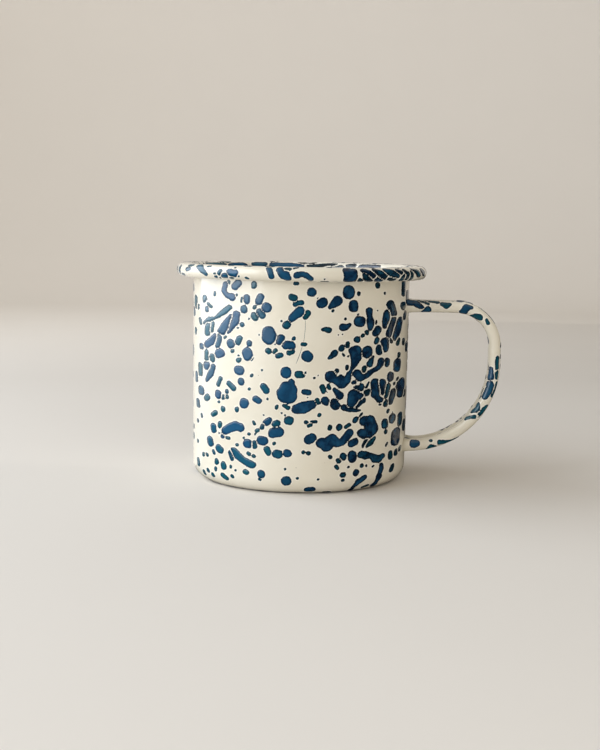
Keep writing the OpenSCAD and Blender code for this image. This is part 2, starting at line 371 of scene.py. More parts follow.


# ---- The splashes on the side that faces the camera, read one by one ----

# Drops on the wall: (angle, height, length, width, tilt of the long axis)
WALL_DROPS = [
    (-1, 68.5, 3.2, 2.2, -15), (1.5, 66.6, 4, 1.7, 14), (-4, 59.2, 2.9, 2.5, 40),
    (-6.5, 60.5, 0.8, 0.8, 0), (0.5, 73.3, 1.9, 1, 0), (-21, 72.5, 2.6, 2, 100),
    (-31, 72.3, 4.2, 2.4, 45), (-36, 73.2, 1.5, 0.8, 100), (-31, 68.9, 1.1, 0.6, 90),
    (-25, 67.5, 3.2, 2.1, 90), (-28, 67.2, 2.2, 0.7, 78), (-18, 67.7, 4, 2.5, 65),
    (-26.5, 64, 2.9, 2.4, 90), (-20.5, 64.9, 1.5, 1.3, 90), (-14.3, 64.9, 3.5, 3.3, 0),
    (-17, 62.8, 3.8, 2.1, -52), (-20.5, 61.7, 3, 2.1, -65), (-23.5, 60.8, 0.6, 0.6, 0),
    (-27.5, 58.6, 1.7, 1.5, 60), (-30, 57.4, 0.9, 0.6, 20), (-53, 56, 5, 2.2, 86),
    (-48.5, 57, 4, 1.3, 80), (-42.5, 48, 3.7, 3.3, 20), (-54, 46.5, 4.2, 1.6, 90),
    (-48.5, 46, 3, 2, 100), (-54, 43, 3, 2.7, 90), (-61.5, 41, 5, 1.8, 92), (-60, 49.5, 2.2, 1.8, 90),
    (-56, 66.5, 3, 1.9, 100), (-52, 64.8, 3.4, 1.1, -40), (-70, 65, 5, 1.8, 90), (-65, 63.5, 2, 1, 90),
    (-74, 61.5, 3.5, 1.5, 90), (-61.5, 58.5, 2.7, 1.1, 105), (-46.5, 68.8, 1.8, 0.9, 90),
    (-54, 63, 2.2, 1.4, 90), (-70, 54.5, 2.6, 1.2, 90), (-38.5, 53.8, 1.4, 0.9, 40),
    (-34.5, 51.7, 3.3, 2.5, 105), (-33.5, 49.3, 1.5, 1.3, 60), (-29.5, 53.2, 3.5, 2.1, 70),
    (-23.3, 52.3, 2.2, 1.9, 90), (-24.3, 48.6, 4.5, 3.6, 105), (-21.5, 47, 1.7, 0.6, 60),
    (-29.5, 46.3, 2.1, 1.6, 45), (-29.5, 47.9, 0.8, 0.6, 110), (-29, 42.7, 3.6, 3.2, 0),
    (-28, 38.8, 2.7, 2.4, 100), (-21.7, 41.2, 1.2, 1, 50), (-16.2, 43.3, 0.7, 0.6, 0),
    (-18, 55.5, 0.6, 0.5, 90), (-7, 54, 3.6, 3, 60), (-3, 52.2, 4.7, 3.1, -15), (-2, 49.9, 2.9, 1.8, 20),
    (-0.3, 54.6, 1.4, 1.2, 60), (-13, 50, 2.3, 2, -35), (-9.6, 50.1, 2.1, 1.4, 60),
    (-7.5, 48.6, 2.7, 1.8, 15), (-9.6, 52.5, 0.6, 0.5, 90), (-4, 42.8, 4, 3.7, 100),
    (3, 42.2, 3.6, 2.4, -5), (-42.5, 38, 3.9, 1.4, 68), (-34, 37, 4.2, 1.9, -42),
    (-14.5, 37, 3.9, 2.2, -50), (-60.5, 33.5, 3.4, 2.5, 95), (-68, 38, 4, 1.3, 92),
    (-53.5, 31.5, 2.8, 2, 50), (-43.3, 33.4, 3, 2.5, 90), (-39.5, 32.7, 1.9, 1.1, 85),
    (-37, 34.8, 1.6, 1.3, 100), (-36.7, 32.9, 1.5, 1.3, 90), (-42.7, 30.8, 1, 0.9, 0),
    (-65, 28.5, 3.3, 1.5, 96), (-26, 31.3, 3.6, 3.1, 75), (-18.7, 32.9, 3.3, 2.2, -32),
    (-13.3, 33.5, 0.8, 0.7, 0), (-23, 36.5, 1.1, 0.9, 60), (-30.3, 29, 1.8, 1.4, 90),
    (-39.5, 28.4, 1.9, 1.6, 90), (-46.5, 26.3, 3, 1.5, 38), (-8.4, 30.8, 1.7, 1.1, 80),
    (-3.4, 30.9, 3.1, 1.3, -25), (-5.8, 28.7, 0.7, 0.5, 120), (-15, 27.8, 0.5, 0.4, 0),
    (-2.2, 26.3, 3.5, 2.6, -8), (-4, 28, 0.7, 0.6, 0), (-20.3, 24.8, 1.8, 0.9, -55),
    (-13, 25.6, 3.5, 2.4, 32), (-15.5, 23.7, 2.3, 1.3, 65), (-8.6, 25, 3, 2.1, 15),
    (-8.6, 21.9, 5.5, 3.4, 14), (-18.5, 22.2, 1.6, 1.3, 0), (-23, 20.7, 1.1, 1, 0),
    (-19.3, 20.8, 0.8, 0.6, 30), (-26, 19.2, 0.8, 0.6, 60), (-23.5, 17.3, 3.3, 3.1, 0),
    (-20, 17.2, 2.9, 1.7, 105), (-15.5, 18.8, 3.9, 3.1, 0), (-9.4, 18, 1.3, 1, 30),
    (-36, 18.5, 1.9, 1.1, -10), (-41.8, 22.7, 2.6, 1.6, 84), (-47, 21, 3.4, 2, 98),
    (-50, 16, 3.7, 2.3, 102), (-42, 14, 3.3, 2.5, -40), (-30, 16.4, 1.2, 1.1, 0),
    (-23, 13.7, 2, 1.2, -35), (-20.3, 13.1, 1.5, 1.2, -30), (-12.7, 15.2, 3.5, 1.9, -58),
    (-7.7, 14.4, 3.7, 2.9, -5), (-2.8, 14.8, 3, 2.6, 0), (-46.8, 12.4, 1.8, 1, 105),
    (-57, 10.5, 1.6, 1, 90), (-53, 10.8, 1.5, 0.9, 125), (-44.2, 9.3, 2.3, 1.4, 96),
    (-39, 8.3, 2.8, 1.9, 102), (-45, 6.5, 1.7, 1, 95), (-34, 8.3, 1.4, 0.9, 100),
    (-30.8, 7.3, 0.8, 0.7, 0), (-24.5, 7.2, 2.2, 1.8, -25), (-33, 5, 1.4, 1, -40),
    (-38.5, 4.3, 3.1, 1.8, -40), (-48, 4, 1.7, 1.2, 95), (-64, 7, 3, 1.2, 98), (-57, 3.8, 1.9, 1, 95),
    (-52, 5.2, 1.4, 1, 95), (-16, 7, 2.8, 2.7, 0), (-17, 5, 1.2, 0.7, -30), (-3.6, 9.2, 0.9, 0.8, 0),
    (-3, 5.1, 3.6, 3.2, 0), (2.5, 6.1, 1, 0.8, 0), (-75, 19, 2, 1, 90), (-75, 15.5, 2.6, 1.2, 90),
    (-65, 22, 1.4, 0.8, 90), (-59.5, 24.5, 1.7, 0.8, 100), (-82, 27, 3, 1.5, 90),
    (-65, 14.5, 1.4, 0.8, 90), (8, 70.5, 3.2, 3, -20), (13.3, 66.9, 3.9, 3.4, 35),
    (11.2, 68.4, 0.6, 0.5, 60), (18.7, 64.2, 1, 0.9, 0), (27, 70.5, 4.7, 4.1, 90),
    (32.5, 70, 1.5, 1.3, 90), (29.8, 65.7, 4.2, 3.3, 92), (44.5, 72.8, 2.2, 1.7, 90),
    (5.7, 62.8, 3.5, 2, 55), (33.5, 60.4, 4.2, 3.8, -15), (32.5, 62.9, 0.8, 0.5, 35),
    (25.4, 61.4, 1, 0.8, 0), (22, 56, 0.4, 0.4, 0), (24, 56, 0.4, 0.4, 0), (38, 56.5, 1.8, 1.1, -50),
    (35.7, 55.6, 1.4, 1.2, 30), (32.3, 54.2, 2.3, 2.2, 90), (44.8, 56.8, 3.9, 2.8, 60),
    (44.8, 53.5, 2.6, 1.7, 68), (44, 60, 1.4, 0.8, 95), (45, 64, 0.4, 0.4, 0), (50, 70, 0.9, 0.7, 90),
    (64, 52.5, 3, 1.4, 78), (56.5, 53, 1.9, 1.5, -45), (47.5, 50.4, 4, 3, 82),
    (50.9, 51.7, 5.2, 3.5, 86), (38.7, 49.7, 4.3, 3.6, 90), (27, 52.4, 2.3, 1.5, 84),
    (23.8, 51.3, 2.3, 2, 60), (25, 49, 1.3, 0.7, -45), (27.5, 48.4, 0.8, 0.6, 0), (27, 44.6, 2, 1.2, 92),
    (53.5, 45.5, 3.1, 2, 87), (65.5, 47.6, 1.9, 1.2, 90), (64, 44, 4.8, 2.9, 86),
    (57, 40.2, 3.4, 2.5, 90), (65, 38.8, 1.7, 1.2, 90), (61.5, 37.5, 1.4, 1.3, 90),
    (5.2, 42.8, 1.3, 1.2, 0), (10.2, 41, 0.9, 0.7, 0), (12, 42, 0.5, 0.4, 0), (6.5, 48.6, 4.1, 3.6, -38),
    (4.7, 52.6, 2.2, 1.1, 0), (70, 65, 3, 2.1, 105), (73, 61.5, 3.2, 1.4, 76), (72, 52, 2.6, 1.2, 90),
    (34, 37.6, 4, 2.9, -20), (14.5, 37.3, 3.3, 1.8, -65), (17.5, 38, 2.1, 1.1, -60),
    (39.5, 38, 2.7, 0.7, 65), (53.5, 30.8, 2.6, 1.8, 62), (48.5, 31, 1.3, 0.9, -30),
    (39.2, 35.6, 2.6, 2.4, 70), (12, 33, 2.4, 1.6, -60), (16, 33.1, 3.4, 2.7, -40),
    (20.8, 31.9, 4.3, 3, -60), (6.4, 36.2, 3.4, 1.8, -8), (7, 34.3, 0.5, 0.4, 0),
    (16.7, 36.1, 0.5, 0.4, 0), (13, 28.3, 1.4, 1.2, 60), (6.5, 25.8, 1.4, 1.2, 0),
    (10.2, 26, 2.4, 1, -6), (8.3, 24.7, 2, 1.2, 20), (32.5, 26.2, 2.4, 1.7, 70),
    (35.7, 27.8, 1.6, 0.7, 55), (18.5, 23.9, 2, 1.4, 78), (23.5, 23.8, 2.3, 2.1, 60),
    (28, 24.2, 2.6, 1.2, 25), (31.5, 18.2, 3.9, 2.5, 24), (53, 23.6, 3.6, 2.5, 93),
    (60, 25, 3.5, 2.6, 84), (54, 20.6, 1.5, 1.2, 90), (65, 18, 6.6, 3.6, 88), (55, 16, 1.8, 0.6, 60),
    (70, 24, 5, 2, 90), (5.4, 15.3, 1.5, 1.2, -30), (7.8, 15, 1.7, 1.3, -20), (8.7, 20, 4.3, 3.3, 22),
    (19, 13.5, 1.6, 1.3, -30), (26, 13.4, 2.9, 2, -70), (31, 13.2, 4.3, 3.1, 98),
    (23.4, 12.1, 2.1, 1.6, -40), (22.5, 9.8, 1.8, 1.3, -45), (37, 9.7, 1.5, 1.4, 90),
    (40, 9.4, 0.9, 0.6, 90), (29, 9.6, 0.8, 0.7, 0), (44.5, 9, 1, 0.6, 20), (33.5, 7.4, 2.5, 2.2, 60),
    (26, 7, 2.3, 1.8, 0), (26, 5.2, 1.3, 1, 0), (61, 6.9, 3, 1.5, 66), (59, 11.8, 3.1, 1.8, 92),
    (65.5, 12.2, 2.5, 1.6, 84), (71, 13, 2.1, 1.2, 65), (9, 1.9, 4.1, 2.6, 0), (13, 5.7, 0.8, 0.6, 0),
    (19, 0.6, 3.2, 1.2, 0), (41.5, 1.7, 2.6, 1.3, 20), (55.5, 28, 1.6, 1, 72), (60, 27, 0.6, 0.5, 0),
    (69.5, 71.5, 6, 1.6, 90), (78, 68, 5, 2, 90), (80, 50, 4, 2.2, 90), (77, 33, 3, 1.6, 90),
    (79, 21, 4.5, 2.4, 95), (-79, 47, 4, 2, 90), (-82, 38, 3, 2.2, 90), (-78, 70, 3, 1.6, 90),
]

# Drops that ran together: marks of (angle, height, radius)
WALL_STROKES = [
    [(-1.5, 61.4, 1.1), (2.4, 63.7, 1.8)],
    [(-38.5, 72.3, 0.9), (-39.5, 70, 0.9), (-37, 68.4, 0.9), (-34, 68, 1.3)],
    [(-31, 62.2, 1.2), (-31.8, 59.8, 1.4), (-34.5, 57.3, 1), (-36.5, 55.6, 0.5)],
    [(-34.8, 61.5, 0.5), (-36.6, 59.6, 1.1), (-38.7, 57.5, 1.6), (-41.3, 55.6, 1.5)],
    [(-42.8, 54, 1.3), (-44.2, 50.8, 1)],
    [(-45.5, 53.8, 1.1), (-49, 52, 1.4), (-54, 50.4, 1.2)],
    [(-35.5, 64.4, 0.8), (-39, 62.9, 1), (-42, 61.8, 0.8), (-46, 60.3, 0.4), (-51, 59.5, 1),
     (-57, 58, 0.6)],
    [(-13.1, 56.4, 2.1), (-12.8, 54.7, 2.35), (-11.8, 54.9, 2.1)],
    [(-3.2, 35.7, 3.6), (-2.9, 36.6, 3.2), (-1.2, 39.4, 1.2)],
    [(-47.5, 43, 0.9), (-50, 40.3, 1.1), (-53.5, 37.8, 0.7)],
    [(-41.5, 19.8, 1), (-36, 21.6, 1.4), (-31, 23, 1.6), (-28.3, 22.7, 1.5)],
    [(-41, 20, 0.9), (-39.8, 18.6, 0.7)],
    [(-32.2, 14, 1.3), (-28.6, 12.3, 1.3), (-25.5, 11, 1.2), (-21, 9.9, 1.3)],
    [(-34, 13.4, 0.9), (-33, 11.2, 0.6)],
    [(17.3, 65.4, 0.7), (21, 67.5, 1.8)],
    [(39.3, 64, 1.2), (39.8, 61.8, 1), (40.3, 60, 1.4), (40.5, 58, 1)],
    [(24.3, 58.5, 1.3), (25.6, 58.6, 1.2), (27.8, 59.2, 0.7)],
    [(13.8, 57.6, 0.45), (15.2, 57.8, 0.7), (17, 57.6, 0.9)],
    [(55, 66, 1.5), (58.5, 62.5, 1.3)],
    [(52.5, 62.8, 1.4), (51.5, 60.3, 1.4), (51, 58.5, 1)],
    [(58.5, 61, 1), (56.5, 58, 1.5), (54.5, 55.5, 1.2)],
    [(66, 60, 1.2), (63, 57, 1.6), (60.5, 54, 1.1)],
    [(17.2, 47.9, 0.4), (18.8, 48.8, 0.8), (20.3, 49.7, 1.1)],
    [(18.5, 41.5, 2), (21, 41.2, 2), (24.5, 39.3, 1.9), (27, 40, 1.3), (28, 42.3, 0.9), (30, 44.2, 0.6),
     (31.2, 46, 1.3), (32, 48.2, 2.1), (32, 50, 2.1), (29.6, 50.4, 1.3)],
    [(21.5, 43.4, 0.9), (21.8, 42, 1)],
    [(32.5, 42.4, 1.4), (35, 41.2, 1.6), (38, 41.5, 1.1), (43, 43.1, 0.8), (47, 44, 0.9),
     (48.5, 45.7, 1.6)],
    [(37, 44.2, 0.8), (37, 42.6, 0.8)],
    [(42.5, 48, 0.4), (40.5, 45.6, 1.2)],
    [(20.5, 37, 0.7), (23.5, 34.8, 1.3)],
    [(31, 39.2, 0.8), (33, 38.3, 1)],
    [(44.7, 38.6, 1.6), (46.3, 35.4, 2.4), (48.5, 32.6, 1.4)],
    [(49.4, 38.2, 1.7), (49, 34.6, 1.6)],
    [(55, 37, 1), (53.2, 33.5, 0.9)],
    [(60.5, 34.5, 1.3), (57.5, 31, 0.9)],
    [(70, 37, 2), (70.5, 33.5, 1.7)],
    [(35.2, 34.3, 1.2), (31.6, 34.6, 2.4), (30.6, 33, 2), (29.6, 31.8, 1.3)],
    [(33, 30.8, 0.5), (36.8, 32.9, 1)],
    [(25.5, 30.8, 0.9), (29, 29.7, 0.8), (35, 29.4, 0.3)],
    [(1.5, 30.3, 1.7), (5, 30.8, 2), (9, 31.9, 1.5)],
    [(14.5, 18.5, 1.8), (17, 17.9, 2.3), (20, 19.6, 1.9), (22.5, 18.4, 1.5), (25, 18.6, 1.3),
     (27.5, 20.3, 1.3), (29.2, 21.6, 1.5)],
    [(37.6, 25.6, 1.6), (41.5, 25, 2.3), (43, 22.5, 2.5), (40.2, 20.6, 2), (36.3, 21.4, 1.5)],
    [(40, 19, 0.9), (38, 16.6, 0.8)],
    [(39, 16.6, 0.8), (42, 17.6, 1.2), (44.5, 18.9, 0.8)],
    [(36.3, 13.7, 1.2), (39, 13.3, 1.4), (43, 12.9, 0.9), (46, 11.5, 1.4), (49, 11.3, 1.4),
     (51.6, 12.1, 1)],
    [(51, 9, 0.7), (51, 7.5, 0.9), (50, 6.2, 0.7), (49.5, 4.8, 1.1), (48.5, 3.2, 0.7), (48, 1.8, 1.2)],
    [(39, 5.4, 0.9), (35.5, 4, 1.2), (33.5, 2.2, 0.7), (33, 0.8, 0.8)],
]

# Drops on the rim's outer half: (angle, tilt round the roll, length, width, turn of the long axis)
RIM_DROPS = [
    (-37, -45, 1.6, 1.3, 0), (-37.5, -15, 0.9, 0.7, 0), (-34.5, 2, 2.2, 1.5, 60), (-32, -28, 2.8, 2, 0),
    (-28, -2, 4.3, 2.8, -5), (-25, -28, 0.9, 0.7, 0), (-21, -45, 1.4, 1, -30), (-27, 45, 0.8, 0.6, -40),
    (-28.8, -42, 1.8, 1.3, 10), (-35.6, -50, 1.2, 1, 0), (-21.5, 78, 3.2, 1, 0),
    (12.8, -38, 0.6, 0.5, 0), (13, -72, 3, 0.8, 0), (57, 35, 0.7, 0.5, 0), (-57, 55, 2.2, 1.2, 0),
    (-58, 15, 2.2, 1.4, 20), (-42, 50, 1.5, 0.6, 10), (75, 20, 3, 2, -60), (-66, -40, 1.8, 1.2, 0),
    (0.4, 62, 2.4, 0.9, 20), (-11, 84, 3.6, 1.2, 0), (-30, 88, 2.4, 1.4, 0), (36, 80, 2.2, 1, -20),
    (52, 75, 2.4, 0.9, 0), (15, 88, 2, 1.1, 0),
]

# Marks of (angle, tilt round the roll, radius), on the rim's outer half
RIM_STROKES = [
    [(-11.4, 50, 0.8), (-10.4, 15, 1), (-9.8, -22, 1)],
    [(-6, 36, 1.4), (-4.4, 0, 1.8), (-2.9, -36, 1.2)],
    [(-4, 40, 1), (-1.4, 48, 0.5)],
    [(0.8, -8, 1.1), (3, 5, 0.9), (5, -8, 0.9), (6.8, -38, 0.9)],
    [(23, 36, 1.6), (23.2, -40, 1.6), (25.8, -40, 1.4), (25.4, -4, 1.2), (25.8, 36, 1.0)],
    [(28.2, -44, 0.8), (29.8, -56, 0.8)],
    [(30, 42, 0.9), (33.3, 12, 1.2), (35.6, -15, 0.9)],
    [(30.8, 2, 0.9), (32.6, -34, 1.2), (34.6, -58, 0.9)],
    [(36.4, 38, 1.1), (39, 8, 1.3), (42, -22, 0.9)],
    [(37.2, -34, 1.1), (39.4, -58, 1.1)],
    [(42.4, 42, 1), (46, 14, 1.5), (49, -6, 1.1)],
    [(43.4, -30, 0.6), (47.5, -44, 0.8)],
    [(49.5, 42, 0.7), (52, 15, 0.8)],
    [(53.6, -10, 0.8), (53.2, -50, 0.8)],
    [(54.6, 42, 0.6), (57, 8, 0.9), (57.2, -36, 0.8)],
    [(60.2, 20, 0.7), (60.4, -45, 0.8)],
    [(62, 45, 0.6), (66, 20, 1), (68.5, -10, 0.8)],
    [(-77, 22, 0.5), (-77.5, -30, 0.5)],
    [(-70, 30, 0.6), (-70.5, -25, 0.6)],
    [(-49.5, 55, 1), (-46, 15, 0.9), (-43.5, -20, 0.7)],
]

# Drops on the far inner lip that shows over the near rim: (angle, tilt, length, width)
LIP_DROPS = [
    (-119, 30, 6, 2.4), (-136, 20, 4, 2.6), (-153, 30, 3.4, 2.6), (-167, 20, 7, 3), (171, 30, 6, 2.2),
    (164, 10, 3.6, 2.6), (152, 30, 2.4, 2), (141, 20, 5.4, 2.8), (180, 50, 4, 1.4), (-128, 60, 3, 1.2),
]

# Marks of (distance along the handle, height over its centreline, radius), on the side that faces -Y
HANDLE_STROKES = [
    [(2.6, 1.7, 2.1), (4.8, 1.5, 1.3), (6.8, 0.3, 0.85), (7.8, -0.3, 0.5)],
    [(5.8, 2.1, 0.4), (8.2, 1.7, 0.4), (10.2, 0.9, 0.25)],
    [(8.8, 2.1, 0.5), (11.2, 1.9, 0.6), (13.4, 1.6, 0.5)],
    [(8.1, -1.8, 0.5), (10, -1.1, 1.1)],
    [(14.9, 1.1, 0.45), (17.8, 1, 0.5), (16.6, 0.2, 0.7), (14.9, 1.1, 0.45)],
    [(18.7, 2.1, 0.25), (19.5, 2.1, 0.25)],
    [(25.4, 1, 0.5), (23.8, 0.6, 1.1), (22.9, -1.5, 1.25)],
    [(26.6, -1.8, 0.4), (28.3, -1.3, 0.9), (29.7, -0.7, 0.95)],
    [(32.2, 0.5, 0.4), (33.4, 0.2, 0.45)],
    [(27.6, 2.1, 0.3), (30.6, 2.1, 0.4), (34.6, 2.1, 0.3)],
    [(46.4, 1, 0.5), (50.4, 0.9, 0.55)],
    [(51.4, 1.2, 0.45), (53.6, 1.2, 0.5)],
    [(50.8, -1.3, 0.8), (53.6, -1.1, 1.3)],
    [(56.4, -0.9, 1.2), (57, 0.3, 1), (59, -0.5, 1.4), (61.2, -0.9, 1.1)],
    [(55.4, 1.6, 0.4), (58, 1.6, 0.55), (60.2, 1.5, 0.4)],
    [(65.3, -1.5, 0.7), (67, -0.9, 1.05), (68.9, -1.8, 0.6)],
    [(64.2, 1.5, 0.45), (66.4, 1.1, 0.8), (68.8, 1.1, 0.6)],
    [(72.4, -1.7, 0.6), (70.9, -1, 0.35), (69.7, 0.1, 0.45), (68.7, 1.1, 0.35)],
    [(85.6, 0.7, 0.85), (84, 1.3, 0.7), (81.6, 1.8, 0.5), (79.3, 2, 0.3)],
    [(88.4, -0.9, 0.4), (88.6, -0.9, 0.4)],
    [(90.4, 1.9, 0.35), (89.2, 1.2, 0.6), (87.6, 1.6, 0.35)],
    [(94.4, -0.9, 1.4), (94.9, -0.8, 1.5)],
]

# ---- The films of the drops: hue is 0 for teal and 1 for navy; the second value is 0 for a thin, lighter film and 1 for a thick, darker one, and also holds painted shade ----

# Drops up to TEAL_WIDTH are mostly teal, and from NAVY_WIDTH on they are mostly navy
TEAL_WIDTH = 1.6
NAVY_WIDTH = 3.4
LEAST_HUE = 0.25
HUE_RANGE = 0.6
HUE_SCATTER = 0.3
THICKNESS_SCATTER = 0.12


def film_of(width, tone_and_shade, random):
    """Hue and darkness of a drop's film, from its thickness and any painted shade: wide drops are navy,
    narrow ones mostly teal.
    """
    share = (width - TEAL_WIDTH) / (NAVY_WIDTH - TEAL_WIDTH)
    hue = LEAST_HUE + HUE_RANGE * share + HUE_SCATTER * random.uniform(-1, 1)
    tone_and_shade += THICKNESS_SCATTER * random.uniform(-1, 1)
    return np.clip([hue, tone_and_shade], 0, 1)


def painted_shade_at(angle):
    """Painted light and shade on the drops: their film value, which darkens them, rises from the lit
    left side to the shaded side towards the handle.
    """
    half_range = 25
    return min(max(0.5 + 0.5 * angle / half_range, 0), 1)


def handle_darkness_at(distance):
    """On the handle the drops are darker by the upper joint and lighter round the loop."""
    at_joint = 0.9
    least = 0.4
    run = 35
    return max(least, at_joint - distance / run)


NO_SQUEEZE = (1.0, np.array([1.0, 0.0, 0.0]))


def placed_splashes(place, drops, strokes, u_scale, random):
    """The listed drops and strokes of one surface, whose u is the angle seen from the front."""
    made = []
    # Painted light and shade: the film value makes drops lighter on the lit left and darker towards the
    # handle's shaded side
    for u, v, length, width, tilt in drops:
        squeeze = squeeze_at(u)
        grown = (length + 2 * SPREAD, width + 2 * SPREAD)
        marks = oval(place, u + PATTERN_TURN, v, *grown, tilt, u_scale * squeeze[0])
        made.append((marks, film_of(width, painted_shade_at(u), random), squeeze))
    for marks in strokes:
        turned = [(u + PATTERN_TURN, v, radius + SPREAD) for u, v, radius in marks]
        widest = 2 * max(mark[2] for mark in marks)
        middle = sum(mark[0] for mark in marks) / len(marks)
        film = film_of(widest, painted_shade_at(middle), random)
        made.append((stroke(place, turned), film, squeeze_at(middle)))
    return made


def handle_splashes(random):
    """The listed strokes on the handle's side."""
    made = []
    for marks in HANDLE_STROKES:
        grown = [(u, v, radius + 2 * SPREAD) for u, v, radius in marks]
        widest = 2 * max(mark[2] for mark in marks)
        film = film_of(widest, handle_darkness_at(marks[0][0]), random)
        made.append((stroke(handle_point, grown), film, NO_SQUEEZE))
    return made


# Thrown drops: the median radius and its spread, the least radius and the most drops in one throw
THROWN_R = 1.05
THROWN_R_SCATTER = 0.45
LEAST_THROWN_R = 0.35
MOST_IN_THROW = 4
THROWN_THICKNESS = (0.3, 0.9)
# Against a drop's radius: half its stretch, its tail's radius, the step to the next drop and that
# drop's radius
STRETCH = (0.0, 0.9)
TAPER = (0.6, 1.0)
NEXT_STEP = (2.0, 3.4)
NEXT_SIZE = (0.5, 1.3)
LEAN_SCATTER = 0.8
HEADING_SCATTER = 0.9
# Turned faces have as many points near the axis as far from it, so their weight goes with radius
AXIS_WEIGHT = 1.0
# Any direction that no surface normal here is parallel to
ASKEW = (0.3, 0.5, 0.8)


def unit(vector):
    """The vector with length 1."""
    return vector / np.linalg.norm(vector)


def tangent(vector, normal):
    """The direction of the vector along the surface that has this normal."""
    return unit(vector - normal * (vector @ normal))


def scattered_splashes(points, normals, count, biggest, random, allowed):
    """Thrown drops: each throw lands as a few drops along a path that wanders.

    allowed(point) says whether a drop's centre may be there.
    """
    weights = np.hypot(points[:, 0], points[:, 1]) + AXIS_WEIGHT
    picks = random.choice(len(points), size=count, p=weights / weights.sum())
    made = []
    for pick in picks:
        tone_and_shade = random.uniform(*THROWN_THICKNESS)
        centre = points[pick].copy()
        normal = normals[pick]
        spin = random.uniform(0, 2 * math.pi)
        side = unit(np.cross(normal, ASKEW))
        heading = math.cos(spin) * side + math.sin(spin) * np.cross(normal, side)
        radius = min(biggest, THROWN_R * math.exp(random.normal(0, THROWN_R_SCATTER)))
        for _ in range(random.integers(1, MOST_IN_THROW + 1)):
            stretch = radius * random.uniform(*STRETCH)
            if allowed(centre):
                lean = tangent(heading + LEAN_SCATTER * random.normal(size=3), normal)
                head = (*(centre + lean * stretch), radius)
                tail = (*(centre - lean * stretch), radius * random.uniform(*TAPER))
                made.append(([head, tail], film_of(2 * radius, tone_and_shade, random), NO_SQUEEZE))
            step = radius * random.uniform(*NEXT_STEP) + stretch
            heading = tangent(heading + HEADING_SCATTER * random.normal(size=3), normal)
            landing = centre + heading * step
            nearest = np.argmin(((points - landing) ** 2).sum(1))
            centre = points[nearest].copy()
            normal = normals[nearest]
            radius = min(biggest, max(LEAST_THROWN_R, radius * random.uniform(*NEXT_SIZE)))
    return made


def vertex_normals(piece):
    """The mesh's vertex normals as an array."""
    normals = np.zeros(len(piece.data.vertices) * 3)
    piece.data.vertex_normals.foreach_get("vector", normals)
    return normals.reshape(-1, 3)


# The drops' relief rises by RELIEF_DEPTH over RELIEF_EDGE, and starts RELIEF_START outside them
RELIEF_DEPTH = 0.11
RELIEF_EDGE = 0.45
RELIEF_START = 0.1


def store(piece, name, values):
    """Keeps one number per vertex under a name that the materials read."""
    attribute = piece.data.attributes.new(name, "FLOAT", "POINT")
    attribute.data.foreach_set("value", values.astype(np.float32))


def apply_splashes(piece, points, normals, splashes):
    """Writes the splash field to the mesh, and lets the drops stand slightly proud."""
    depth, film = splash_field(points, splashes)
    store(piece, "splash", depth)
    store(piece, "hue", film[:, 0])
    store(piece, "tone_and_shade", film[:, 1])
    rise = np.clip((depth + RELIEF_START) / RELIEF_EDGE, 0, 1)
    rise = RELIEF_DEPTH * rise * rise * (3 - 2 * rise)
    moved = points + normals * rise[:, None]
    moved[:, 2] = np.maximum(moved[:, 2], 0.0)
    piece.data.vertices.foreach_set("co", (moved * MM).ravel())
    piece.data.update()


# ---- Node materials ----

CREAM = (0.85, 0.805, 0.69, 1)
CREAM_WARM = (0.815, 0.76, 0.63, 1)
# Cream just outside a drop
HALO = (0.92, 0.895, 0.81, 1)
# The middle and the edge of a thin and of a thick film, for navy and for teal drops; the thick film's
# colours also carry the painted shade
NAVY = (0.012, 0.092, 0.200, 1)
NAVY_DEEP = (0.001, 0.013, 0.042, 1)
NAVY_EDGE = (0.004, 0.036, 0.090, 1)
TEAL = (0.008, 0.115, 0.165, 1)
TEAL_DEEP = (0.001, 0.019, 0.030, 1)
TEAL_EDGE = (0.003, 0.050, 0.078, 1)
DEEP_EDGE = (0.001, 0.009, 0.022, 1)
# The ground coat, the rare pits in the cream, and the olive of the painted shade in the handle's joints
GROUND = (0.020, 0.022, 0.024, 1)
GROUND_BLUE = (0.035, 0.04, 0.05, 1)
SPECK = (0.05, 0.045, 0.035, 1)
OLIVE_SHADE = (0.26, 0.22, 0.09, 1)
# Cells per millimetre that may hold a pit, and how strongly pits and pale rings show
PITS_PER_MM = 0.30
PIT_STRENGTH = 0.6
HALO_STRENGTH = 0.7
ENAMEL_IOR = 1.58
ENAMEL_SPECULAR = 0.6
STUDIO_SPECULAR = 0.2
STEEL = (0.55, 0.56, 0.57, 1)
WELD = (0.32, 0.31, 0.30, 1)


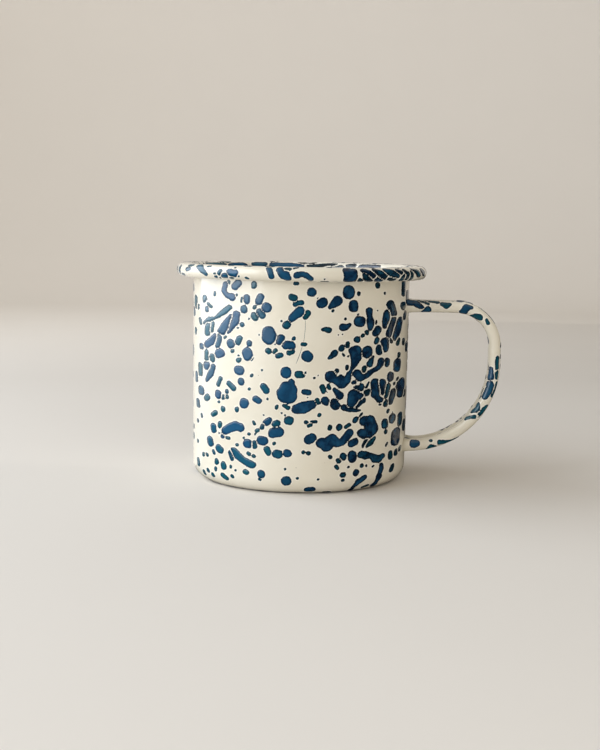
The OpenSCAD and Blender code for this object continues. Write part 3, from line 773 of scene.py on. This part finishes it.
class Graph:
    """Short names for making and linking the nodes of one material."""

    def __init__(self, name):
        self.material = bpy.data.materials.new(name)
        self.material.use_nodes = True
        self.nodes = self.material.node_tree.nodes
        self.links = self.material.node_tree.links
        self.shader = self.nodes["Principled BSDF"]

    def add(self, kind, **settings):
        """A new node with these settings."""
        node = self.nodes.new(kind)
        for key, value in settings.items():
            setattr(node, key, value)
        return node

    def link(self, source, target):
        """Joins an output to an input."""
        self.links.new(source, target)

    def object_position(self):
        """Position in the piece's own frame, in metres."""
        return self.add("ShaderNodeTexCoord").outputs["Object"]

    def attribute(self, name):
        """A number that the mesh holds per vertex."""
        return self.add("ShaderNodeAttribute", attribute_name=name).outputs["Fac"]

    def noise(self, position, per_mm, detail=3.0, rough=0.5):
        """Noise of per_mm cycles per millimetre, between 0 and 1."""
        node = self.add("ShaderNodeTexNoise")
        node.inputs["Scale"].default_value = per_mm / MM
        node.inputs["Detail"].default_value = detail
        node.inputs["Roughness"].default_value = rough
        self.link(position, node.inputs["Vector"])
        return node.outputs["Fac"]

    def maths(self, operation, first, second=0.0):
        """A maths node on two values, each a number or an output."""
        node = self.add("ShaderNodeMath", operation=operation)
        for k, value in enumerate((first, second)):
            if isinstance(value, (int, float)):
                node.inputs[k].default_value = value
            else:
                self.link(value, node.inputs[k])
        return node.outputs[0]

    def spread(self, value, low, high, to_low=0.0, to_high=1.0, smooth=False):
        """value mapped from low..high to to_low..to_high, and held at the ends."""
        node = self.add("ShaderNodeMapRange")
        if smooth:
            node.interpolation_type = "SMOOTHSTEP"
        ends = {"From Min": low, "From Max": high, "To Min": to_low, "To Max": to_high}
        for key, number in ends.items():
            node.inputs[key].default_value = number
        self.link(value, node.inputs["Value"])
        return node.outputs["Result"]

    def mix(self, share, first, second):
        """Colour between first and second."""
        node = self.add("ShaderNodeMix", data_type="RGBA")
        self.link(share, node.inputs["Factor"])
        colours = [socket for socket in node.inputs if socket.type == "RGBA"]
        for socket, value in zip(colours, (first, second)):
            if isinstance(value, tuple):
                socket.default_value = value
            else:
                self.link(value, socket)
        return [socket for socket in node.outputs if socket.type == "RGBA"][0]

    def bump(self, height, depth_mm, strength=1.0, after=None):
        """Bump from a 0..1 height that stands for depth_mm."""
        node = self.add("ShaderNodeBump")
        node.inputs["Strength"].default_value = strength
        node.inputs["Distance"].default_value = depth_mm * MM
        self.link(height, node.inputs["Height"])
        if after is not None:
            self.link(after, node.inputs["Normal"])
        return node.outputs["Normal"]


def rippled_depth(g, position):
    """Depth inside a drop with a fine ripple, so that the drop's outline isn't too smooth."""
    fine = g.noise(position, per_mm=1.6, detail=2.0)
    ripple = g.spread(fine, low=0.3, high=0.7, to_low=-0.07, to_high=0.07)
    return g.maths("ADD", g.attribute("splash"), ripple)


def drop_colour(g, position, depth):
    """Colour of the drops: dark at the edge, lighter and cloudy in the middle."""
    # The film value darkens a drop; on the listed drops it also holds painted shade, darker towards the
    # handle's shaded side
    tone_and_shade = g.attribute("tone_and_shade")
    pooled = g.noise(position, per_mm=0.55)
    pooled_hue = g.maths("MULTIPLY", pooled, 0.35)
    blueness = g.spread(g.maths("ADD", g.attribute("hue"), pooled_hue), low=0.3, high=0.85)
    thin = g.mix(blueness, TEAL, NAVY)
    thick = g.mix(blueness, TEAL_DEEP, NAVY_DEEP)
    cloud = g.spread(g.noise(position, per_mm=0.32, rough=0.55), low=0.42, high=0.66, to_high=0.75)
    middle = g.mix(cloud, g.mix(tone_and_shade, thin, thick), thin)
    edge = g.mix(tone_and_shade, g.mix(blueness, TEAL_EDGE, NAVY_EDGE), DEEP_EDGE)
    pooled_depth = g.maths("ADD", depth, g.maths("MULTIPLY", pooled, 0.5))
    inner_share = g.spread(pooled_depth, low=0.25, high=1.15, smooth=True)
    return g.mix(inner_share, edge, middle)


def pit_share(g, position):
    """Where the cream has a pit: a small spot in about one of five cells."""
    pits = g.add("ShaderNodeTexVoronoi")
    pits.inputs["Scale"].default_value = PITS_PER_MM / MM
    g.link(position, pits.inputs["Vector"])
    pick = g.add("ShaderNodeSeparateColor")
    g.link(pits.outputs["Color"], pick.inputs["Color"])
    rare = g.spread(pick.outputs["Red"], low=0.78, high=0.80)
    small = g.spread(pits.outputs["Distance"], low=0.055, high=0.035)
    return g.maths("MULTIPLY", g.maths("MULTIPLY", rare, small), PIT_STRENGTH)


def cream_colour(g, position, depth, has_joint_shade):
    """Colour of the cream: mottled, with pits, perhaps with painted olive shade in the handle's joints,
    and paler round the drops.
    """
    mottle = g.spread(g.noise(position, per_mm=0.05, detail=4.0), low=0.35, high=0.7)
    cream = g.mix(mottle, CREAM, CREAM_WARM)
    cream = g.mix(pit_share(g, position), cream, SPECK)
    if has_joint_shade:
        # Painted shade: olive in the corners where the handle meets the wall, where the mesh says so
        patches = g.spread(g.noise(position, per_mm=0.4), low=0.3, high=0.6, to_low=0.5)
        joint_shade = g.maths("MULTIPLY", g.attribute("joint_shade"), patches)
        cream = g.mix(g.spread(joint_shade, low=0.1, high=0.9), cream, OLIVE_SHADE)
    near_drop = g.spread(depth, low=-0.5, high=-0.1, smooth=True)
    halo = g.maths("MULTIPLY", near_drop, HALO_STRENGTH)
    return g.mix(halo, cream, HALO)


def wear_and_shadow_share(g, position, worn_and_shaded_below):
    """Where the dark ground coat shows, under a ragged line at a given height: wear, and at the wall's
    foot also painted contact shadow.
    """
    axes = g.add("ShaderNodeSeparateXYZ")
    g.link(position, axes.inputs["Vector"])
    height = g.maths("DIVIDE", axes.outputs["Z"], MM)
    patches = g.noise(position, per_mm=0.25, detail=4.0)
    shift = g.spread(patches, low=0.2, high=0.8, to_low=-0.35, to_high=0.35)
    ragged = g.maths("ADD", height, shift)
    return g.spread(ragged, low=worn_and_shaded_below + 0.1, high=worn_and_shaded_below - 0.1)


def enamel_relief(g, position, depth):
    """Slow waves, orange peel, and a groove just inside the edge of each drop."""
    groove_depth = 0.26
    groove_half_width = 0.28
    slow = g.noise(position, per_mm=0.16, detail=1.0)
    waves = g.bump(slow, depth_mm=0.10, strength=0.55)
    fine = g.noise(position, per_mm=0.9, detail=2.0)
    peel = g.bump(fine, depth_mm=0.012, strength=0.5, after=waves)
    from_groove = g.maths("ABSOLUTE", g.maths("SUBTRACT", depth, groove_depth))
    height = g.spread(from_groove, low=0.0, high=groove_half_width, smooth=True)
    return g.bump(height, depth_mm=0.04, after=peel)


def enamel_material(name, worn_and_shaded_below=None, has_joint_shade=False):
    """Cream glossy enamel with dark drops.

    Under the given height the dark ground coat shows: wear, and at the wall's foot also painted contact
    shadow.
    On the handle the coat turns olive where the mesh says so: painted shade in the corners where it
    meets the wall.
    """
    g = Graph(name)
    position = g.object_position()
    depth = rippled_depth(g, position)
    drop_share = g.spread(depth, low=-0.03, high=0.04)
    cream = cream_colour(g, position, depth, has_joint_shade)
    colour = g.mix(drop_share, cream, drop_colour(g, position, depth))
    if worn_and_shaded_below is not None:
        colour = g.mix(wear_and_shadow_share(g, position, worn_and_shaded_below), colour, GROUND)
    g.link(colour, g.shader.inputs["Base Color"])
    smudge = g.noise(position, per_mm=0.12, detail=4.0, rough=0.6)
    roughness = g.spread(smudge, low=0.3, high=0.75, to_low=0.09, to_high=0.17)
    g.link(roughness, g.shader.inputs["Roughness"])
    g.link(enamel_relief(g, position, depth), g.shader.inputs["Normal"])
    g.shader.inputs["IOR"].default_value = ENAMEL_IOR
    g.shader.inputs["Specular IOR Level"].default_value = ENAMEL_SPECULAR
    return g.material


def steel_material(name, base, rough):
    """Bare rolled sheet steel with a fine grain."""
    g = Graph(name)
    darker = 0.7
    rougher = 0.15
    grain = g.noise(g.object_position(), per_mm=1.5, detail=5.0, rough=0.6)
    dark = tuple(darker * channel for channel in base[:3]) + (1,)
    g.link(g.mix(grain, dark, base), g.shader.inputs["Base Color"])
    roughness = g.spread(grain, low=0.3, high=0.7, to_low=rough, to_high=rough + rougher)
    g.link(roughness, g.shader.inputs["Roughness"])
    g.link(g.bump(grain, depth_mm=0.01), g.shader.inputs["Normal"])
    g.shader.inputs["Metallic"].default_value = 1.0
    return g.material


def ground_material():
    """The nearly black ground coat under the cream."""
    g = Graph("ground_coat")
    cloud = g.noise(g.object_position(), per_mm=0.4, detail=4.0)
    g.link(g.mix(cloud, GROUND, GROUND_BLUE), g.shader.inputs["Base Color"])
    roughness = g.spread(cloud, low=0.3, high=0.7, to_low=0.2, to_high=0.35)
    g.link(roughness, g.shader.inputs["Roughness"])
    g.link(g.bump(cloud, depth_mm=0.02), g.shader.inputs["Normal"])
    return g.material


def plain_material(name, colour, rough):
    """Matt studio surface with the faintest mottling."""
    g = Graph(name)
    gain = 1.03
    cloud = g.noise(g.object_position(), per_mm=0.01)
    lighter = tuple(min(1.0, gain * channel) for channel in colour[:3]) + (1,)
    g.link(g.mix(cloud, colour, lighter), g.shader.inputs["Base Color"])
    g.shader.inputs["Roughness"].default_value = rough
    g.shader.inputs["Specular IOR Level"].default_value = STUDIO_SPECULAR
    return g.material


# ---- Pieces of the cup ----


def finish_piece(piece, material, *nodes):
    """Material, body and the CAD nodes that the piece stands for."""
    piece.data.materials.append(material)
    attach(piece, "root")
    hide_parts(*nodes)


def pattern_angle(point):
    """Angle of a point round the mug, as the hand-placed drops count it."""
    angle = math.degrees(math.atan2(point[0], -point[1])) - PATTERN_TURN
    return (angle + 180) % 360 - 180


# Drops are listed one by one up to these angles to either side on the wall and on the rim's outer half,
# and past LIP_PLACED_FROM on the far lip
WALL_PLACED_TO = 84
RIM_PLACED_TO = 82
LIP_PLACED_FROM = 112


def on_back(point):
    """True on the back of the wall, where no drops are listed."""
    return abs(pattern_angle(point)) > WALL_PLACED_TO


def everywhere(point):
    """True at any point."""
    return True


def splashed_lathe(name, profile, step, outward, placed, throws, biggest, seed, allowed, closed=False):
    """A turned coat with its splashes: placed(random) gives the listed ones."""
    random = np.random.default_rng(seed)
    points, faces = lathe(profile, step, outward)
    if closed:
        close_centre(faces, len(points) // len(profile), outward)
    piece = make_piece(name, points, faces)
    normals = vertex_normals(piece)
    splashes = placed(random)
    splashes += scattered_splashes(points, normals, throws, biggest, random, allowed)
    apply_splashes(piece, points, normals, splashes)
    return piece


def none_placed(random):
    """No listed splashes."""
    return []


def wall_splashes(random):
    """The listed splashes on the wall."""
    return placed_splashes(wall_point, WALL_DROPS, WALL_STROKES, WALL_SCALE, random)


def make_outer_coat():
    """The wall's coat, with the base corner."""
    piece = splashed_lathe(
        "outer_coat", outer_profile(), CUP_STEP, 1, wall_splashes,
        throws=400, biggest=2.6, seed=11, allowed=on_back,
    )
    # The dark line at the wall's foot is partly worn ground coat and partly painted contact shadow
    finish_piece(piece, enamel_material("outer_enamel", worn_and_shaded_below=0.3), "outside_enamel")


def make_base_coat():
    """The coat under the base."""
    piece = splashed_lathe(
        "base_coat", base_profile(), CUP_STEP, 1, none_placed,
        throws=60, biggest=2.6, seed=12, allowed=everywhere, closed=True,
    )
    finish_piece(piece, enamel_material("base_enamel_look", worn_and_shaded_below=-0.1), "base_enamel")


def make_inner_coat():
    """The coat on the inside of the cup."""
    piece = splashed_lathe(
        "inner_coat", inner_profile(), INSIDE_STEP, -1, none_placed,
        throws=420, biggest=2.6, seed=13, allowed=everywhere, closed=True,
    )
    finish_piece(piece, enamel_material("inner_enamel"), "inside_enamel")


def on_roll(angle, along):
    """Point on the rim's outer half, along in millimetres round the roll."""
    return rim_point(angle, along / ROLL_SCALE)


def on_lip(angle, along):
    """Point on the rim's inner half, along in millimetres round the roll."""
    return lip_point(angle, along / ROLL_SCALE)


def rim_splashes(random):
    """The listed splashes on the rim's outer half and on the far lip."""
    drops = [(u, tilt * ROLL_SCALE, length, width, turn) for u, tilt, length, width, turn in RIM_DROPS]
    strokes = [[(u, tilt * ROLL_SCALE, radius) for u, tilt, radius in marks] for marks in RIM_STROKES]
    far = [(u, tilt * ROLL_SCALE, length, width, 0) for u, tilt, length, width in LIP_DROPS]
    made = placed_splashes(on_roll, drops, strokes, RIM_SCALE, random)
    return made + placed_splashes(on_lip, far, [], RIM_SCALE, random)


def rim_free(point):
    """True where the rim has no listed drops: the far outer half and the near inner half."""
    if math.hypot(point[0], point[1]) < LIP_X:
        return abs(pattern_angle(point)) <= LIP_PLACED_FROM
    return abs(pattern_angle(point)) > RIM_PLACED_TO


def make_rim_coat():
    """The coat round the rim's roll."""
    piece = splashed_lathe(
        "rim_coat", rim_profile(), RIM_STEP, -1, rim_splashes,
        throws=170, biggest=1.7, seed=14, allowed=rim_free,
    )
    finish_piece(piece, enamel_material("rim_enamel_look"), "rim_enamel")


# The hairline's marks of (angle, height, half its width), and how far its middle stands proud
HAIRLINE = [
    (5.2, 61.5, 0.05), (5.2, 58, 0.07), (4.8, 54.5, 0.06), (3.2, 50.2, 0.08), (1.9, 47.6, 0.12),
    (1, 46, 0.05),
]
HAIRLINE_POINTS = 40
HAIRLINE_LIFT = 0.03


def make_hairline():
    """The fine hair-like trail that one drop drew down the front of the wall."""
    steps = np.arange(len(HAIRLINE))
    marks = np.linspace(0, len(HAIRLINE) - 1, HAIRLINE_POINTS)
    angles, heights, half_widths = (np.interp(marks, steps, column) for column in zip(*HAIRLINE))
    points = []
    for angle, height, half_width in zip(angles, heights, half_widths):
        turn = half_width / WALL_SCALE
        for side, rise in ((-1, 0.0), (0, HAIRLINE_LIFT), (1, 0.0)):
            spot = Vector(wall_point(angle + PATTERN_TURN + side * turn, height))
            outward = Vector((spot.x, spot.y, 0)).normalized()
            points.append(tuple(spot + outward * rise))
    faces = []
    for k in range(HAIRLINE_POINTS - 1):
        for side in (0, 1):
            here = 3 * k + side
            faces.append((here, here + 3, here + 4, here + 1))
    piece = make_piece("hairline_trail", points, faces)
    for name, value in (("splash", 0.5), ("hue", 0.3), ("tone_and_shade", 0.3)):
        store(piece, name, np.full(len(points), value))
    piece.data.materials.append(enamel_material("hairline_enamel"))
    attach(piece, "root")


# ---- The handle ----

# Lengths of the centreline: upper arm, bend, back, bend and lower arm
UPPER_LENGTH = REACH - UPPER_BEND_R - ARM_START_X
UPPER_ARC = math.pi / 2 * UPPER_BEND_R
BACK_TOP_Z = UPPER_ARM_Z - UPPER_BEND_R
BACK_LENGTH = BACK_TOP_Z - LOWER_ARM_Z - LOWER_BEND_R
LOWER_ARC = math.pi / 2 * LOWER_BEND_R
LOWER_BEND_X = REACH - LOWER_BEND_R
LOWER_LENGTH = LOWER_BEND_X - ARM_START_X
HANDLE_LENGTH = UPPER_LENGTH + UPPER_ARC + BACK_LENGTH + LOWER_ARC + LOWER_LENGTH


def route(distance):
    """Point (x, z) and outward direction (x, z) of the handle's centreline."""
    if distance < UPPER_LENGTH:
        return (ARM_START_X + distance, UPPER_ARM_Z), (0.0, 1.0)
    distance -= UPPER_LENGTH
    if distance < UPPER_ARC:
        turn = distance / UPPER_BEND_R
        out = (math.sin(turn), math.cos(turn))
        return (REACH - UPPER_BEND_R + UPPER_BEND_R * out[0], BACK_TOP_Z + UPPER_BEND_R * out[1]), out
    distance -= UPPER_ARC
    if distance < BACK_LENGTH:
        return (REACH, BACK_TOP_Z - distance), (1.0, 0.0)
    distance -= BACK_LENGTH
    if distance < LOWER_ARC:
        turn = distance / LOWER_BEND_R
        out = (math.cos(turn), -math.sin(turn))
        centre = (LOWER_BEND_X, LOWER_ARM_Z + LOWER_BEND_R)
        return (centre[0] + LOWER_BEND_R * out[0], centre[1] + LOWER_BEND_R * out[1]), out
    distance -= LOWER_ARC
    return (LOWER_BEND_X - distance, LOWER_ARM_Z), (0.0, -1.0)


def handle_point(distance, rise):
    """Point on the handle's side that faces -Y, rise over the centreline."""
    rise = max(-BEAD_R, min(BEAD_R, rise))
    (x, z), out = route(distance)
    y = -(BEAD_Y + math.sqrt(BEAD_R ** 2 - rise ** 2))
    return x + out[0] * rise, y, z + out[1] * rise


def strap_section():
    """Closed section of the strap as (outward, across): crowned face, rolled edges and channel."""
    face_n = BEAD_R - WEB_DROP
    edge_turn = math.acos(face_n / BEAD_R)
    edge_y = BEAD_Y - BEAD_R * math.sin(edge_turn)
    across = np.linspace(0, edge_y, 8)
    face = [(face_n + FACE_CROWN * (1 - (y / edge_y) ** 2), y) for y in across]
    clear = 8
    fillet_n = CHANNEL_FLOOR - CHANNEL_FILLET
    meet = math.sqrt((BEAD_R + CHANNEL_FILLET) ** 2 - fillet_n ** 2)
    fillet_y = BEAD_Y - meet
    end = 180 + math.degrees(math.asin((BEAD_Y - fillet_y) / (BEAD_R + CHANNEL_FILLET)))
    turns = np.radians(np.linspace(clear - math.degrees(edge_turn), end - clear, 36))
    bead = [(BEAD_R * math.cos(turn), BEAD_Y + BEAD_R * math.sin(turn)) for turn in turns]

    low = math.atan2(bead[-1][1] - fillet_y, bead[-1][0] - fillet_n)
    fillet = []
    for turn in np.linspace(low + 2 * math.pi, 2 * math.pi, 6):
        n = fillet_n + CHANNEL_FILLET * math.cos(turn)
        fillet.append((n, fillet_y + CHANNEL_FILLET * math.sin(turn)))
    half = face + bead + fillet + [(CHANNEL_FLOOR, fillet_y / 2), (CHANNEL_FLOOR, 0.0)]
    mirrored = [(n, -y) for n, y in half[-2:0:-1]]
    return half + mirrored


def even_loop(section, step):
    """The closed section with its points an even step apart."""
    line = np.array(section + section[:1])
    length = distances(line)[-1]
    count = round(length / step)
    return points_at(np.arange(count) * length / count, line)


def joint_gap(points):
    """How far points on the handle are from the wall."""
    return np.maximum(np.hypot(points[:, 0], points[:, 1]) - wall_radius(points[:, 2]), 0.0)


def off_near_side(point):
    """True on the handle, apart from the side with the listed strokes."""
    return point[1] > -BEAD_Y


def handle_points(section):
    """The handle's points, ring after ring, with the direction in which each can swell."""
    points = []
    outward = []
    for distance in np.linspace(0, HANDLE_LENGTH, round(HANDLE_LENGTH / HANDLE_STEP) + 1):
        (x, z), out = route(distance)
        for rise, across in section:
            points.append((x + out[0] * rise, across, z + out[1] * rise))
            size = math.hypot(rise, across)
            outward.append((out[0] * rise / size, across / size, out[1] * rise / size))
    return np.array(points), np.array(outward)


def tube_faces(rings, count):
    """Faces between rings of count points each, open at both ends."""
    faces = []
    for ring in range(rings - 1):
        for k in range(count):
            here = ring * count + k
            beside = ring * count + (k + 1) % count
            faces.append((here, here + count, beside + count, beside))
    return faces


def make_handle_coat():
    """The handle's coat, swollen where it meets the wall, with painted olive shade in the corners there.
    """
    random = np.random.default_rng(15)
    section = even_loop(strap_section(), HANDLE_STEP)
    points, outward = handle_points(section)
    closeness = np.exp(-joint_gap(points) / JOINT_RUN)
    points += JOINT_SWELL * closeness[:, None] * outward
    count = len(section)
    piece = make_piece("handle_coat", points, tube_faces(len(points) // count, count))
    normals = vertex_normals(piece)
    splashes = handle_splashes(random)
    splashes += scattered_splashes(points, normals, 80, 1.6, random, off_near_side)
    apply_splashes(piece, points, normals, splashes)
    # Painted shade: olive in the corners by the wall, most on the top of the lower arm
    least = 0.35
    upward = np.clip(normals[:, 2], 0, 1)
    lower_arm = points[:, 2] < LOWER_ARM_Z + 2 * BEAD_R
    store(piece, "joint_shade", closeness * np.where(lower_arm, least + (1 - least) * upward, least))
    finish_piece(piece, enamel_material("handle_enamel_look", has_joint_shade=True), "handle_enamel")


def dress_inner_nodes():
    """Materials for the CAD nodes that stay: sheet steel, welds and ground coat."""
    steel = steel_material("sheet_steel_look", STEEL, rough=0.3)
    weld = steel_material("weld_steel_look", WELD, rough=0.45)
    ground = ground_material()
    looks = {
        "steel_cup": steel, "steel_handle": steel,
        "upper_spot_welds": weld, "lower_spot_welds": weld,
        "cup_ground_enamel": ground, "handle_ground_enamel": ground,
    }
    for node, look in looks.items():
        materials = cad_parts[node].data.materials
        materials.clear()
        materials.append(look)


# ---- Camera, light and floor: all lengths in this section are metres ----

CAMERA_DISTANCE_M = 0.465
CAMERA_HEIGHT_M = 0.0898
CAMERA_PITCH = 6.4
CAMERA_ROLL = 0.96
CAMERA_TURN = 6.0
LENS = 60.0
SENSOR = 36.0
CLIP_START = 0.01

# Only the window shows in the gloss. Each light has its place, what it shines at, its width and
# height, its radiance and its colour.
LIGHTS = {
    "window": {
        "location": (-0.62, -0.28, 0.50), "target": (0, -0.28, 0.50), "width": 1.35, "height": 0.98,
        "radiance": 2.5, "colour": (0.90, 0.98, 1.08), "glossy": True,
    },
    "fill": {
        "location": (0.30, -0.70, 0.40), "target": (0, 0, 0.05), "width": 0.6, "height": 0.6,
        "radiance": 0.7, "colour": (1.0, 0.95, 0.86), "glossy": False,
    },
    "front": {
        "location": (-0.35, -0.75, 0.35), "target": (0, 0, 0.05), "width": 0.5, "height": 0.5,
        "radiance": 0.8, "colour": (0.96, 0.98, 0.98), "glossy": False,
    },
    "backdrop": {
        "location": (-0.35, 0.45, 0.75), "target": (-0.6, 1.5, 0.45), "width": 0.5, "height": 0.5,
        "radiance": 4.0, "colour": (0.98, 0.99, 1.0), "glossy": False,
    },
}
WORLD_COLOUR = (0.82, 0.75, 0.64, 1)
WORLD_STRENGTH = 0.5

# The dark cards stand round the near and right-hand sides of the mug
CARD_LOW = 0.0006
CARD_HIGH = 0.9
CARD_LEFT = -0.22
CARD_RIGHT = 0.62
CARD_NEAR = -0.85
CARD_FAR = 0.9
CARD_COLOUR = (0.02, 0.02, 0.02, 1)

FLOOR_COLOUR = (0.79, 0.755, 0.71, 1)
FLOOR_RADII = (0.002, 0.3, 0.7)
FLOOR_FLAT_R = 1.1
COVE_R = 0.4
COVE_STEPS = 24
FLOOR_WALL_TOP = 1.1
FLOOR_SPACING = 0.08


def make_camera():
    """The camera, which looks slightly down at the mug from the front."""
    data = bpy.data.cameras.new("camera")
    data.lens = LENS
    data.sensor_width = SENSOR
    data.clip_start = CLIP_START
    camera = bpy.data.objects.new("camera", data)
    bpy.context.scene.collection.objects.link(camera)
    turn = math.radians(CAMERA_TURN)
    x = CAMERA_DISTANCE_M * math.sin(turn)
    y = -CAMERA_DISTANCE_M * math.cos(turn)
    camera.location = (x, y, CAMERA_HEIGHT_M)
    facing = Euler((math.radians(90 - CAMERA_PITCH), 0, 0)).to_matrix()
    rolled = Euler((0, 0, math.radians(CAMERA_ROLL))).to_matrix()
    turned = Euler((0, 0, turn)).to_matrix()
    camera.rotation_euler = (turned @ facing @ rolled).to_euler()
    bpy.context.scene.camera = camera


def make_area_light(name, location, target, width, height, radiance, colour, glossy):
    """A soft rectangle that shines at the target; the gloss sees it only if glossy is true."""
    data = bpy.data.lights.new(name, "AREA")
    data.shape = "RECTANGLE"
    data.size = width
    data.size_y = height
    data.energy = radiance * math.pi * width * height
    data.color = colour
    light = bpy.data.objects.new(name, data)
    light.visible_camera = False
    light.visible_glossy = glossy
    bpy.context.scene.collection.objects.link(light)
    light.location = location
    aim = Vector(target) - Vector(location)
    light.rotation_euler = aim.to_track_quat("-Z", "Y").to_euler()


def make_dark_card(name, corners):
    """A dark card that only the gloss sees, so that the near side of the enamel stays deep."""
    mesh = bpy.data.meshes.new(name)
    mesh.from_pydata(corners, [], [(0, 1, 2, 3)])
    card = bpy.data.objects.new(name, mesh)
    bpy.context.scene.collection.objects.link(card)
    mesh.materials.append(plain_material(name, CARD_COLOUR, rough=1.0))
    card.visible_camera = False
    card.visible_diffuse = False
    card.visible_shadow = False


def make_lights():
    """The lights, the dark cards and the world."""
    for name, light in LIGHTS.items():
        make_area_light(name, **light)
    corners = {
        "card_front": [
            (CARD_LEFT, CARD_NEAR, CARD_LOW), (CARD_RIGHT, CARD_NEAR, CARD_LOW),
            (CARD_RIGHT, CARD_NEAR, CARD_HIGH), (CARD_LEFT, CARD_NEAR, CARD_HIGH),
        ],
        "card_side": [
            (CARD_RIGHT, CARD_NEAR, CARD_LOW), (CARD_RIGHT, CARD_FAR, CARD_LOW),
            (CARD_RIGHT, CARD_FAR, CARD_HIGH), (CARD_RIGHT, CARD_NEAR, CARD_HIGH),
        ],
        "card_front_floor": [
            (CARD_LEFT, CARD_NEAR, CARD_LOW), (CARD_RIGHT, CARD_NEAR, CARD_LOW),
            (CARD_RIGHT, 0, CARD_LOW), (CARD_LEFT, 0, CARD_LOW),
        ],
        "card_side_floor": [
            (0, 0, CARD_LOW), (CARD_RIGHT, 0, CARD_LOW),
            (CARD_RIGHT, CARD_FAR, CARD_LOW), (0, CARD_FAR, CARD_LOW),
        ],
    }
    for name, card in corners.items():
        make_dark_card(name, card)
    world = bpy.data.worlds.new("studio")
    world.use_nodes = True
    background = world.node_tree.nodes["Background"]
    background.inputs["Color"].default_value = WORLD_COLOUR
    background.inputs["Strength"].default_value = WORLD_STRENGTH
    bpy.context.scene.world = world


def make_floor():
    """A wide pale floor that sweeps up all round, so that no edge shows from any side."""
    profile = [(radius, 0.0) for radius in (*FLOOR_RADII, FLOOR_FLAT_R)]
    for k in range(1, COVE_STEPS + 1):
        turn = math.pi / 2 * k / COVE_STEPS
        profile.append((FLOOR_FLAT_R + COVE_R * math.sin(turn), COVE_R * (1 - math.cos(turn))))
    profile.append((FLOOR_FLAT_R + COVE_R, FLOOR_WALL_TOP))
    points, faces = lathe(np.array(profile), FLOOR_SPACING, -1)
    close_centre(faces, len(points) // len(profile), -1)
    floor = make_piece("floor", points / MM, faces)
    floor.data.materials.append(plain_material("pale_floor", FLOOR_COLOUR, rough=0.7))


def use_plain_colours():
    """Colours are shown as they are, with no film curve."""
    bpy.context.scene.view_settings.view_transform = "Standard"


make_camera()
make_lights()
make_floor()
use_plain_colours()
make_outer_coat()
make_base_coat()
make_inner_coat()
make_rim_coat()
make_hairline()
make_handle_coat()
dress_inner_nodes()
